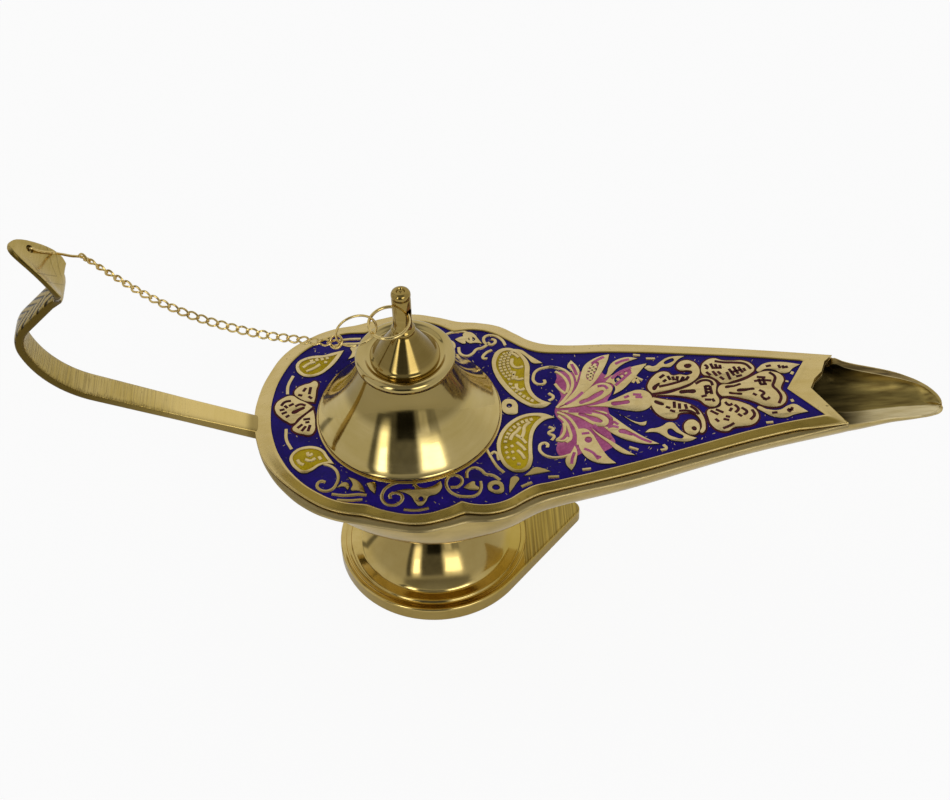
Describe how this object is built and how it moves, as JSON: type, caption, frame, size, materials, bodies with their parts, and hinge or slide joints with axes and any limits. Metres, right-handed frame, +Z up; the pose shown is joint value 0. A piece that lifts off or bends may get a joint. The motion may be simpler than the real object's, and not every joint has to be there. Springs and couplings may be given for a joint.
{
  "type": "oil lamp",
  "caption": "Boat-shaped brass oil lamp on a trumpet foot, with an enamelled cover plate, an open spout, a bell lid on a fine chain and a cobra handle.",
  "frame": {"origin": "on the foot's flat underside, straight below the axis of the lid", "axes": "+X towards the spout, +Y to the left of someone who looks along the spout, +Z up"},
  "size_m": [0.2579, 0.0834, 0.1315],
  "materials": {
    "polished_brass": "mirror polished, warm yellow",
    "satin_brass": "satin, finely brushed",
    "cast_brass": "polished casting with dark inside",
    "brass_wire": "bright drawn wire",
    "brass_screw": "plain turned",
    "blue_enamel": "glossy deep blue enamel",
    "yellow_enamel": "glossy mustard yellow enamel",
    "pink_enamel": "glossy pink enamel",
    "maroon_enamel": "glossy dark red enamel",
    "leather": "oiled dark leather"
  },
  "bodies": {
    "lamp": {"bowl": "cast_brass", "top_plate": "satin_brass", "blue_enamel": "blue_enamel", "yellow_enamel": "yellow_enamel", "pink_enamel": "pink_enamel", "maroon_enamel": "maroon_enamel", "cobra_handle": "satin_brass", "foot": "polished_brass", "foot_screw": "brass_screw", "sealing_washer": "leather", "chain": "brass_wire", "chain_hook": "brass_wire"},
    "chain_end": {"link_ring": "brass_wire", "chain_ring": "brass_wire"},
    "lid": {"lid": "polished_brass", "finial": "polished_brass", "finial_nut": "brass_screw"},
    "finial_ring": {"finial_ring": "brass_wire"}
  },
  "joints": [
    {"name": "lid_lift", "type": "slide", "parent": "lamp", "child": "chain_end", "axis": [0, 0, 1], "range_m": [0, 0.06], "deforming": ["chain"]},
    {"name": "lid_turn", "type": "hinge", "parent": "chain_end", "child": "lid", "pos_m": [0, 0, 0.06], "axis": [0, 0, 1], "range_deg": [-8, 8]},
    {"name": "finial_ring_swing", "type": "hinge", "parent": "lid", "child": "finial_ring", "pos_m": [0, 0, 0.10105], "axis": [-0.7547, 0.6561, 0], "range_deg": [0, 12]}
  ]
}
